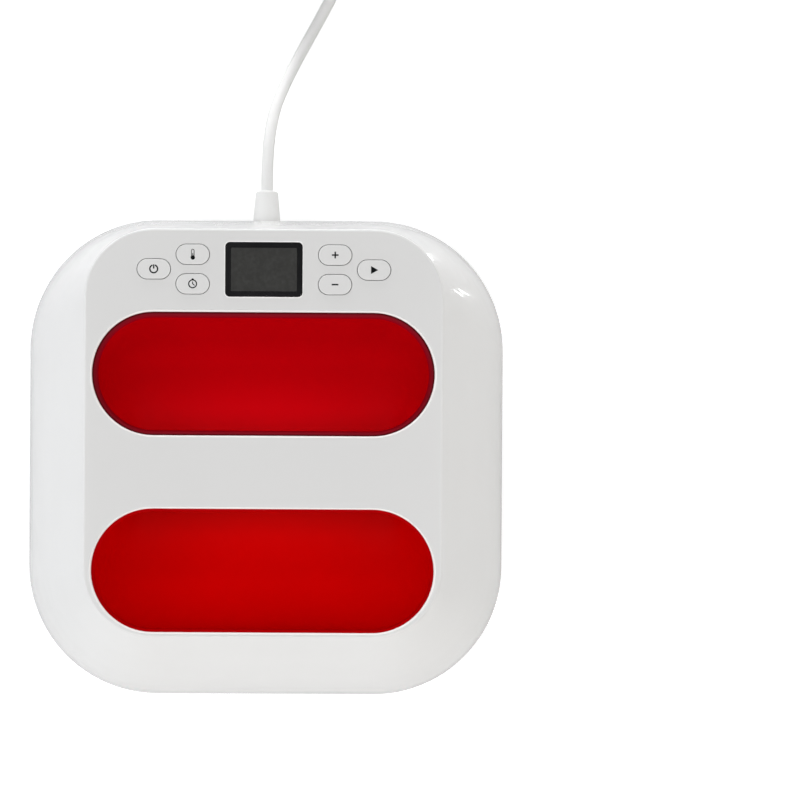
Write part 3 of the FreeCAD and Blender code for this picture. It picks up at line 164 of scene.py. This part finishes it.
class Surface:
    """A Principled material with a few helpers to wire procedural textures into it."""

    def __init__(self, name, colour, roughness, **sockets):
        self.name = name
        self.material = bpy.data.materials.new(name)
        self.material.use_nodes = True
        self.tree = self.material.node_tree
        self.shader = self.tree.nodes["Principled BSDF"]
        self.colour = colour
        self.roughness = roughness
        self.shader.inputs["Base Color"].default_value = (*colour, 1)
        self.shader.inputs["Roughness"].default_value = roughness
        for socket, value in sockets.items():
            self.shader.inputs[socket.replace("_", " ")].default_value = value
        coordinates = self.node("ShaderNodeTexCoord")
        self.place = coordinates.outputs["Object"]
        self.height = None

    def node(self, kind, **values):
        made = self.tree.nodes.new(kind)
        for name, value in values.items():
            setattr(made, name, value)
        return made

    def link(self, out, into):
        self.tree.links.new(out, into)

    def axis(self, name):
        """The place along X, Y or Z, in metres."""
        split = self.node("ShaderNodeSeparateXYZ")
        self.link(self.place, split.inputs["Vector"])
        return split.outputs[name]

    def stretched(self, x, y, z):
        mapping = self.node("ShaderNodeMapping")
        mapping.inputs["Scale"].default_value = (x, y, z)
        self.link(self.place, mapping.inputs["Vector"])
        return mapping.outputs["Vector"]

    def noise(self, scale, detail=2.0, roughness=0.5, vector=None):
        made = self.node("ShaderNodeTexNoise")
        made.inputs["Scale"].default_value = scale
        made.inputs["Detail"].default_value = detail
        made.inputs["Roughness"].default_value = roughness
        self.link(vector or self.place, made.inputs["Vector"])
        return made.outputs["Fac"]

    def cells(self, scale, feature="F1", output="Distance"):
        made = self.node("ShaderNodeTexVoronoi", feature=feature)
        made.inputs["Scale"].default_value = scale
        self.link(self.place, made.inputs["Vector"])
        return made.outputs[output]

    def ramp(self, value, low, high, into_low=0.0, into_high=1.0):
        made = self.node("ShaderNodeMapRange")
        made.inputs["From Min"].default_value = low
        made.inputs["From Max"].default_value = high
        made.inputs["To Min"].default_value = into_low
        made.inputs["To Max"].default_value = into_high
        self.link(value, made.inputs["Value"])
        return made.outputs["Result"]

    def mix_colours(self, factor, first, second):
        made = self.node("ShaderNodeMix", data_type="RGBA")
        self.link(factor, made.inputs["Factor"])
        for socket, colour in (("A", first), ("B", second)):
            entry = [item for item in made.inputs if item.name == socket and item.type == "RGBA"][0]
            if isinstance(colour, tuple):
                entry.default_value = (*colour, 1)
            else:
                self.link(colour, entry)
        return [item for item in made.outputs if item.type == "RGBA"][0]

    def tint(self, factor, other):
        """Blends the base colour towards another one where the factor is high."""
        socket = self.shader.inputs["Base Color"]
        first = socket.links[0].from_socket if socket.links else self.colour
        self.link(self.mix_colours(factor, first, other), socket)
        return self

    def vary_roughness(self, value, spread):
        low = self.roughness - spread
        high = self.roughness + spread
        self.link(self.ramp(value, 0.3, 0.7, low, high), self.shader.inputs["Roughness"])
        return self

    def bump(self, value, depth, strength=1.0):
        """Adds a relief of that depth in metres over the reliefs before it."""
        made = self.node("ShaderNodeBump")
        made.inputs["Strength"].default_value = strength
        made.inputs["Distance"].default_value = depth
        self.link(value, made.inputs["Height"])
        if self.height:
            self.link(self.height, made.inputs["Normal"])
        self.height = made.outputs["Normal"]
        self.link(self.height, self.shader.inputs["Normal"])
        return self


def scaled(colour, share):
    return tuple(part * share for part in colour)


def flow_marks(surface):
    """The broad soft marks that plastic leaves as it fills its mould."""
    return surface.ramp(surface.noise(14.0, 3.0), 0.35, 0.75)


def moulded(name, colour, roughness, grain=900.0, depth=0.00001, spread=0.04, shade=0.95, **sockets):
    """Moulded plastic: soft flow marks, a fine skin and a slightly uneven gloss."""
    made = Surface(name, colour, roughness, **sockets)
    made.tint(flow_marks(made), scaled(colour, shade))
    made.vary_roughness(made.noise(60.0, 4.0), spread)
    made.bump(made.noise(120.0, 2.0), depth * 2, 0.35)
    made.bump(made.noise(grain, 2.0), depth)
    return made


def metal(name, colour, roughness, brushed=(1, 1, 1), depth=0.00001, stain=0.8):
    """Bare metal: fine marks, stretched where it is brushed, and soft stains."""
    made = Surface(name, colour, roughness, Metallic=1.0)
    fine = made.noise(900.0, 3.0, vector=made.stretched(*brushed))
    made.tint(made.ramp(made.noise(45.0, 4.0), 0.4, 0.8), scaled(colour, stain))
    made.vary_roughness(fine, 0.08)
    made.bump(fine, depth)
    return made


def shell_white():
    return moulded(
        "shell_white",
        WHITE,
        0.18,
        depth=0.000006,
        shade=0.985,
        Specular_IOR_Level=0.25,
        Coat_Weight=0.6,
    )


def coated_plate():
    """Non-stick coated casting: grey with a dense fine sparkle."""
    made = Surface("plate_grey", (0.36, 0.36, 0.37), 0.42, Metallic=0.35)
    specks = made.node("ShaderNodeSeparateColor")
    made.link(made.cells(1500.0, output="Color"), specks.inputs["Color"])
    made.tint(made.ramp(specks.outputs["Red"], 0.2, 1.0), (0.46, 0.46, 0.47))
    made.tint(made.ramp(specks.outputs["Green"], 0.86, 1.0), (0.25, 0.25, 0.26))
    made.tint(made.ramp(made.noise(18.0, 4.0), 0.4, 0.8, 0.0, 0.35), (0.40, 0.40, 0.42))
    made.vary_roughness(specks.outputs["Blue"], 0.12)
    made.bump(made.noise(1100.0, 3.0), 0.00002)
    return made


def red_tray():
    """Moulded red, a little darker in the rear well than in the front one, as painted shade."""
    front_red = (0.80, 0.0, 0.0005)
    # The rear well's darker red is painted shade.
    rear_red_painted_shade = (0.71, 0.0, 0.005)
    change_start = -0.03
    change_end = 0.015
    share = 0.95
    made = moulded("tray_red", front_red, 0.38, grain=1400.0, shade=share, Specular_IOR_Level=0.04)
    rear = made.mix_colours(flow_marks(made), rear_red_painted_shade, scaled(rear_red_painted_shade, share))
    return made.tint(made.ramp(made.axis("Y"), change_start, change_end), rear)


def cord_jacket():
    """Satin jacket, greyer in small patches."""
    made = moulded("cord_white", (0.80, 0.80, 0.79), 0.38, grain=700.0, depth=0.00002)
    made.tint(made.ramp(made.noise(250.0, 4.0), 0.55, 0.8, 0.0, 0.3), (0.70, 0.70, 0.68))
    return made


def display_pane():
    """Dark pane of the blank display, faintly mottled."""
    made = Surface("pane_smoke", (0.040, 0.040, 0.038), 0.22, Specular_IOR_Level=0.25)
    made.tint(made.ramp(made.noise(420.0, 5.0), 0.4, 0.72), (0.050, 0.050, 0.048))
    made.vary_roughness(made.noise(200.0, 3.0), 0.05)
    made.bump(made.noise(70.0, 2.0), 0.00002, 0.5)
    return made


def circuit_board():
    """Green solder mask with lighter tracks under it."""
    made = Surface("board_green", (0.012, 0.10, 0.035), 0.35, Coat_Weight=0.3)
    wires = made.cells(220.0, feature="DISTANCE_TO_EDGE")
    made.tint(made.ramp(wires, 0.03, 0.06, 1.0, 0.0), (0.03, 0.19, 0.07))
    pads = made.cells(160.0)
    made.tint(made.ramp(pads, 0.08, 0.11, 1.0, 0.0), (0.55, 0.55, 0.50))
    made.bump(wires, 0.00003, 0.4)
    made.vary_roughness(made.noise(300.0), 0.05)
    return made


def mica_sheet():
    """Pressed mica: pale flakes in a glossy binder."""
    made = Surface("mica", (0.52, 0.44, 0.28), 0.35, Coat_Weight=0.3)
    made.tint(made.ramp(made.noise(120.0, 5.0), 0.3, 0.8), (0.66, 0.58, 0.40))
    made.bump(made.cells(260.0, output="Color"), 0.00003)
    made.vary_roughness(made.noise(150.0), 0.1)
    return made


def ceramic_felt():
    """Pale felt with long fibres and a soft uneven face."""
    made = Surface("felt", (0.76, 0.73, 0.66), 0.95, Sheen_Weight=0.4)
    fibres = made.noise(700.0, 6.0, 0.7, made.stretched(1, 4, 1))
    made.tint(made.ramp(fibres, 0.35, 0.7), (0.62, 0.59, 0.52))
    made.bump(fibres, 0.0004)
    made.bump(made.noise(90.0, 4.0), 0.0006)
    return made


def fuse_glass():
    """Clear glass tube with a faint haze."""
    made = Surface("fuse_glass", (0.86, 0.90, 0.90), 0.06, Transmission_Weight=0.7, IOR=1.5)
    made.tint(made.ramp(made.noise(500.0), 0.5, 0.8), (0.70, 0.74, 0.74))
    made.bump(made.noise(300.0), 0.00001)
    return made


def taped_winding():
    """Yellow tape with darker laps."""
    made = moulded("part_yellow", (0.62, 0.44, 0.03), 0.45, grain=500.0)
    laps = made.node("ShaderNodeTexWave")
    laps.inputs["Scale"].default_value = 120.0
    laps.inputs["Distortion"].default_value = 0.6
    made.link(made.place, laps.inputs["Vector"])
    made.tint(made.ramp(laps.outputs["Fac"], 0.0, 0.12, 0.5, 0.0), (0.35, 0.24, 0.02))
    made.bump(laps.outputs["Fac"], 0.00005, 0.5)
    return made


def make_materials():
    """One material for each finish of the record, by the name of its slot."""
    surfaces = [
        shell_white(),
        red_tray(),
        moulded("bumper_navy", (0.014, 0.019, 0.030), 0.42, grain=1300.0, depth=0.00004),
        coated_plate(),
        metal("heater_steel", (0.30, 0.28, 0.26), 0.42, stain=0.6),
        mica_sheet(),
        ceramic_felt(),
        metal("sheet_steel", (0.56, 0.56, 0.57), 0.34, (20, 1, 1), stain=0.85),
        metal("screw_steel", (0.60, 0.60, 0.62), 0.28),
        moulded("frame_black", (0.012, 0.012, 0.013), 0.5, grain=1100.0, depth=0.00003),
        moulded("button_white", WHITE, 0.20, depth=0.000006, shade=0.985),
        moulded("bezel_black", (0.003, 0.003, 0.004), 0.25, depth=0.000004, Specular_IOR_Level=0.25),
        display_pane(),
        moulded("lcd_grey", (0.07, 0.075, 0.07), 0.3),
        circuit_board(),
        moulded("part_black", (0.015, 0.015, 0.016), 0.48, grain=1000.0, depth=0.00002),
        moulded("part_blue", (0.02, 0.08, 0.36), 0.25),
        taped_winding(),
        fuse_glass(),
        moulded("lead_red", (0.42, 0.01, 0.008), 0.5, grain=800.0, depth=0.00002),
        moulded("lead_brown", (0.12, 0.045, 0.018), 0.4, grain=800.0),
        moulded("lead_grey", (0.34, 0.34, 0.35), 0.42, grain=800.0),
        cord_jacket(),
        metal("blade_brass", (0.74, 0.56, 0.24), 0.24, (1, 25, 25), stain=0.85),
        metal("tin", (0.66, 0.66, 0.65), 0.3),
    ]
    return {surface.name: surface.material for surface in surfaces}


def dress(piece, material):
    piece.data.materials.clear()
    piece.data.materials.append(material)


# Signs on the keys: thin printed shapes, drawn from the middle of their key

INK = 0.02


def circle_points(radius, count=48, y=0.0, start=0.0, turn=360.0):
    """Points along an arc, with both its ends, or round a whole circle."""
    angles = [math.radians(start + turn * number / count) for number in range(count + (turn < 360))]
    return [(radius * math.cos(angle), y + radius * math.sin(angle)) for angle in angles]


def ring(outer, inner):
    """A flat ring as quads between two circles."""
    far = circle_points(outer)
    near = circle_points(inner)
    return [[far[i - 1], far[i], near[i], near[i - 1]] for i in range(len(far))]


def bar(x_low, x_high, y_low, y_high):
    return [[(x_low, y_low), (x_high, y_low), (x_high, y_high), (x_low, y_high)]]


def arc_band(outer, inner, start, turn, y=0.0, count=40):
    """A part of a flat ring, from a start angle over a turn in degrees."""
    far = circle_points(outer, count, y, start, turn)
    near = circle_points(inner, count, y, start, turn)
    return [[far[i], far[i + 1], near[i + 1], near[i]] for i in range(count)]


def power_sign():
    return arc_band(2.25, 1.55, 108, 324) + bar(-0.33, 0.33, 0.15, 2.2)


def thermometer_sign():
    bulb = [circle_points(1.08, y=-1.6)]
    tube = bar(-0.82, -0.46, -1.0, 1.8) + bar(0.46, 0.82, -1.0, 1.8)
    cap = arc_band(0.82, 0.46, 0, 180, y=1.8, count=24)
    column = bar(-0.22, 0.22, -0.7, 0.55)
    return bulb + tube + cap + column


def clock_sign():
    upright = bar(-0.24, 0.2, -0.1, 1.15)
    slanted = [[(-0.2, -0.05), (0.85, -0.95), (1.12, -0.62), (0.2, 0.2)]]
    crown = [[(-0.75, 2.0), (0.75, 2.0), (0.3, 2.65), (-0.3, 2.65)]]
    return ring(2.2, 1.65) + upright + slanted + crown


def plus_sign():
    across = bar(-1.65, 1.65, -0.35, 0.35)
    return across + bar(-0.35, 0.35, 0.35, 1.65) + bar(-0.35, 0.35, -1.65, -0.35)


def minus_sign():
    return bar(-1.65, 1.65, -0.37, 0.37)


def play_sign():
    return [[(-1.5, -1.95), (2.0, 0.0), (-1.5, 1.95)]]


SIGNS = {
    "power": power_sign,
    "temperature": thermometer_sign,
    "timer": clock_sign,
    "plus": plus_sign,
    "minus": minus_sign,
    "start": play_sign,
}


def make_sign(name, outlines, ink):
    """Extrudes the flat outlines to print that is half in its key and half above it."""
    mesh = bpy.data.meshes.new(f"{name}_sign")
    build = bmesh.new()
    lowest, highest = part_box(f"{name}_button")
    middle = (lowest + highest) / 2
    low = highest.z - INK * MM
    for outline in outlines:
        corners = [build.verts.new((middle.x + x * MM, middle.y + y * MM, low)) for x, y in outline]
        face = build.faces.new(corners)
        if face.normal.z > 0:
            face.normal_flip()
        raised = bmesh.ops.extrude_face_region(build, geom=[face])
        tops = [item for item in raised["geom"] if isinstance(item, bmesh.types.BMVert)]
        bmesh.ops.translate(build, verts=tops, vec=(0, 0, 2 * INK * MM))
    bmesh.ops.recalc_face_normals(build, faces=build.faces)
    build.to_mesh(mesh)
    build.free()
    sign = add_object(f"{name}_sign", mesh)
    dress(sign, ink)
    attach(sign, f"{name}_key")


def make_signs():
    black = (0.003, 0.004, 0.005)
    ink = moulded("sign_ink", black, 0.6, grain=2000.0, depth=0.000005, Specular_IOR_Level=0.1).material
    for name, outlines in SIGNS.items():
        make_sign(name, outlines(), ink)


# Bands round the wells and the display

WELL_LENGTH = 168.2
WELL_WIDTH = 60.6
WELL_END_STEPS = 48
GRIP_WIDTH = 36.0
GRIP_CENTRE_Y = -7.3
REAR_WELL_Y = GRIP_CENTRE_Y + (GRIP_WIDTH + WELL_WIDTH) / 2
FRONT_WELL_Y = GRIP_CENTRE_Y - (GRIP_WIDTH + WELL_WIDTH) / 2
SHARP_ANGLE = 50


def well_points(centre_y, grow):
    """A well's outline pushed outward by grow, counter-clockwise from its lower right."""
    radius = WELL_WIDTH / 2 + grow
    straight = (WELL_LENGTH - WELL_WIDTH) / 2
    points = []
    for side, start in ((1, -90), (-1, 90)):
        for number in range(WELL_END_STEPS + 1):
            angle = math.radians(start + 180 * number / WELL_END_STEPS)
            x = side * straight + radius * math.cos(angle)
            points.append((x, centre_y + radius * math.sin(angle)))
    return points


def make_band(name, sections, material):
    """A closed band through level outlines, each given with its height."""
    mesh = bpy.data.meshes.new(name)
    build = bmesh.new()
    loops = []
    for outline, z in sections:
        loops.append([build.verts.new((x * MM, y * MM, z * MM)) for x, y in outline])
    for first, second in zip(loops, loops[1:] + loops[:1]):
        for one in range(len(first)):
            two = (one + 1) % len(first)
            build.faces.new([first[one], first[two], second[two], second[one]])
    bmesh.ops.recalc_face_normals(build, faces=build.faces)
    build.to_mesh(mesh)
    build.free()
    mesh.shade_smooth()
    mesh.set_sharp_from_angle(angle=math.radians(SHARP_ANGLE))
    band = add_object(name, mesh)
    dress(band, material)
    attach(band, "housing")


# Trims in the wells: the tray's edge just under the shell's lip, coloured with painted shade that
# darkens toward the lip.
# The profile's corners are shares of a trim's width, inward from the well's wall, and of its height.

TRIM_GAP = 0.02
TRIM_TOP = 104.6
TRIM_LOW = 98.9
TRIM_RISE = TRIM_TOP - TRIM_LOW
REAR_TRIM_WIDTH = 2.5
FRONT_TRIM_WIDTH = 1.3
TRIM_PROFILE = (
    (0.0, 1.0),
    (0.16, 1.0),
    (0.36, 0.86),
    (0.64, 0.58),
    (0.88, 0.26),
    (1.0, 0.0),
    (0.0, 0.0),
)


def make_trim(name, centre_y, width, material):
    sections = []
    for across, up in TRIM_PROFILE:
        outline = well_points(centre_y, -TRIM_GAP - width * across)
        sections.append((outline, TRIM_LOW + TRIM_RISE * up))
    make_band(name, sections, material)


def shaded_trim_red(name, low, middle, top):
    """Red with painted shade, darker than the tray and darkening with height from the trim's foot to
    its upper edge under the lip.
    """
    made = moulded(name, low, 0.4, grain=1400.0, shade=0.97, Specular_IOR_Level=0.06)
    height = made.axis("Z")
    for start, end, colour in ((0.05, 0.75, middle), (0.84, 0.97, top)):
        first = (TRIM_LOW + start * TRIM_RISE) * MM
        last = (TRIM_LOW + end * TRIM_RISE) * MM
        made.tint(made.ramp(height, first, last), colour)
    return made.material


def make_trims():
    # The rear trim's dark band and the front trim's darker upper fringe are painted shade under the
    # lip.
    rear_trim_shade = shaded_trim_red("trim_rear_painted_shade", (0.40, 0.0, 0.010), (0.24, 0.010, 0.020), (0.09, 0.002, 0.005))
    make_trim("rear_well_trim", REAR_WELL_Y, REAR_TRIM_WIDTH, rear_trim_shade)
    bright = shaded_trim_red("trim_front_painted_shade", (0.62, 0.0, 0.002), (0.55, 0.0, 0.002), (0.40, 0.0, 0.002))
    make_trim("front_well_trim", FRONT_WELL_Y, FRONT_TRIM_WIDTH, bright)


# Beads: strips over the edges of the wells' lips and of the display's seat, whiter than the shell as
# painted highlight.
# The seat's profile goes outward from the display's edge, and up from the shell's top.

LIP_RADIUS = 1.3
BEAD_PROUD = 0.05
BEAD_DEPTH = 0.35
BEAD_END_DEPTH = 0.02
BEAD_ANGLES = (24, 36, 48, 60, 72)
SEAT_RADIUS = 2.2
SEAT_CORNER_STEPS = 8
SEAT_PROFILE = (
    (0.03, 0.0),
    (0.06, 0.16),
    (0.2, 0.24),
    (0.38, 0.16),
    (0.5, 0.0),
    (0.3, -0.2),
    (0.1, -0.2),
)


def lip_profile():
    """The bead's section from the lip's centre: over the lip's surface and back below it."""
    end = LIP_RADIUS - BEAD_END_DEPTH
    proud = [(LIP_RADIUS + BEAD_PROUD, angle) for angle in BEAD_ANGLES]
    sunk = [(LIP_RADIUS - BEAD_DEPTH, angle) for angle in reversed(BEAD_ANGLES)]
    section = []
    for reach, angle in [(end, BEAD_ANGLES[0]), *proud, (end, BEAD_ANGLES[-1]), *sunk]:
        turn = math.radians(angle)
        section.append((reach * math.cos(turn), reach * math.sin(turn)))
    return section


def make_lip_bead(name, centre_y, shell_top, material):
    sections = []
    for across, up in lip_profile():
        outline = well_points(centre_y, LIP_RADIUS - across)
        sections.append((outline, shell_top - LIP_RADIUS + up))
    make_band(name, sections, material)


def seat_points(low, high, grow):
    """A box's outline with the seat's round corners, pushed outward by grow."""
    middle = (low + high) / 2 / MM
    half = (high - low) / 2 / MM
    radius = SEAT_RADIUS + grow
    points = []
    for side_x, side_y, start in ((1, 1, 0), (-1, 1, 90), (-1, -1, 180), (1, -1, 270)):
        corner_x = middle.x + side_x * (half.x - SEAT_RADIUS)
        corner_y = middle.y + side_y * (half.y - SEAT_RADIUS)
        for number in range(SEAT_CORNER_STEPS + 1):
            angle = math.radians(start + 90 * number / SEAT_CORNER_STEPS)
            points.append((corner_x + radius * math.cos(angle), corner_y + radius * math.sin(angle)))
    return points


def make_seat_bead(shell_top, material):
    low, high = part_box("display_bezel")
    sections = [(seat_points(low, high, grow), shell_top + up) for grow, up in SEAT_PROFILE]
    make_band("display_seat_bead", sections, material)


def make_beads():
    shell_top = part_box("top_shell")[1].z / MM
    # A whiter white than the shell's, as painted highlight along the lips' and the seat's edges.
    highlight_white = moulded("bead_painted_highlight", (0.95, 0.94, 0.925), 0.2, depth=0.000004, shade=0.99).material
    make_lip_bead("rear_lip_bead", REAR_WELL_Y, shell_top, highlight_white)
    make_lip_bead("front_lip_bead", FRONT_WELL_Y, shell_top, highlight_white)
    make_seat_bead(shell_top, highlight_white)


# Stage and lights

FLOOR_HALF = 4.0
FLOOR_Z = -0.0003
FLOOR_GLOW = 0.55
WORLD_LIGHT = 0.18
LAMP_TARGET = (0, 0, 0.06)
COOL = (0.91, 0.955, 1.0)
WARM = (1.0, 0.97, 0.90)

# Lamps: place, size, power and colour

LAMPS = {
    "over_left": ((-1.12, 0.05, 1.95), (0.9, 1.6), 14.6, (0.98, 0.985, 1.0)),
    "over_right": ((1.0, 0.05, 1.95), (0.9, 1.6), 11.4, (1.0, 0.99, 0.98)),
    "over_front": ((0.0, -1.3, 2.0), (1.0, 0.3), 3.2, (1.0, 1.0, 1.0)),
    "over_rear": ((0.0, 1.3, 2.0), (1.0, 0.3), 2.6, (1.0, 1.0, 1.0)),
    "strip_left": ((-1.2, -0.4, 0.16), (1.8, 0.14), 4.7, COOL),
    "strip_right": ((1.2, 0.0, 0.16), (1.8, 0.14), 2.2, WARM),
    "strip_rear": ((-0.12, 1.2, 0.16), (1.8, 0.14), 13.8, (0.98, 0.985, 1.0)),
    "low_front": ((0.1, -1.4, 0.75), (2.0, 0.8), 10.6, (1.0, 0.98, 0.95)),
}
MATT_LAMPS = ("strip_left", "strip_right", "strip_rear", "low_front")

# Small strips at floor level that face up and show as glints in the rear right corner's gloss:
# place, turn in degrees and length

GLINT_WIDTH = 0.0025
GLINT_POWER = 0.0008
GLINTS = {
    "glint_left": ((0.187, 0.113, 0.003), 48, 0.013),
    "glint_right": ((0.173, 0.112, 0.003), 40, 0.015),
    "glint_crease": ((0.137, 0.149, 0.003), -8, 0.016),
}


def make_floor():
    """A pale floor that looks nearly white to the camera and throws no more light for it."""
    mesh = bpy.data.meshes.new("floor")
    sides = ((-1, -1), (1, -1), (1, 1), (-1, 1))
    mesh.from_pydata([(x * FLOOR_HALF, y * FLOOR_HALF, FLOOR_Z) for x, y in sides], [], [(0, 1, 2, 3)])
    floor = add_object("floor", mesh)
    pale = Surface("floor_pale", (0.86, 0.86, 0.86), 0.7)
    path = pale.node("ShaderNodeLightPath")
    pale.tint(pale.ramp(pale.noise(3.0), 0.4, 0.8), (0.85, 0.85, 0.855))
    pale.shader.inputs["Emission Color"].default_value = (1, 1, 1, 1)
    glow = pale.ramp(path.outputs["Is Camera Ray"], 0, 1, 0.0, FLOOR_GLOW)
    pale.link(glow, pale.shader.inputs["Emission Strength"])
    dress(floor, pale.material)


def make_world():
    """White to the camera, and a weak even light on the object."""
    world = bpy.data.worlds.new("studio")
    bpy.context.scene.world = world
    world.use_nodes = True
    tree = world.node_tree
    background = tree.nodes["Background"]
    path = tree.nodes.new("ShaderNodeLightPath")
    spread = tree.nodes.new("ShaderNodeMapRange")
    spread.inputs["To Min"].default_value = WORLD_LIGHT
    spread.inputs["To Max"].default_value = 1.0
    tree.links.new(path.outputs["Is Camera Ray"], spread.inputs["Value"])
    tree.links.new(spread.outputs["Result"], background.inputs["Strength"])
    background.inputs["Color"].default_value = (1, 1, 1, 1)


def make_lamp(name, place, size, power, colour=(1, 1, 1)):
    data = bpy.data.lights.new(name, "AREA")
    data.shape = "RECTANGLE"
    data.size, data.size_y = size
    data.energy = power
    data.color = colour
    lamp = add_object(name, data)
    lamp.location = place
    aim = Vector(LAMP_TARGET) - Vector(place)
    lamp.rotation_euler = aim.to_track_quat("-Z", "Y").to_euler()
    return lamp


def make_lights():
    """The matt lamps light the sides, and leave no bright line along the case's crease."""
    for name, (place, size, power, colour) in LAMPS.items():
        lamp = make_lamp(name, place, size, power, colour)
        lamp.visible_glossy = name not in MATT_LAMPS
    for name, (place, turn, length) in GLINTS.items():
        lamp = make_lamp(name, place, (length, GLINT_WIDTH), GLINT_POWER)
        lamp.rotation_euler = (math.pi, 0, math.radians(turn))
        lamp.visible_camera = False


def main():
    make_camera()
    cord = make_cord()
    materials = make_materials()
    for part in frame["record"]["subparts"]:
        dress(nodes[part["node"]], materials[part["material_slot"]])
    dress(cord, materials["cord_white"])
    make_signs()
    make_trims()
    make_beads()
    make_floor()
    make_world()
    make_lights()
    bpy.context.scene.view_settings.view_transform = "Standard"
    bpy.context.view_layer.update()


main()
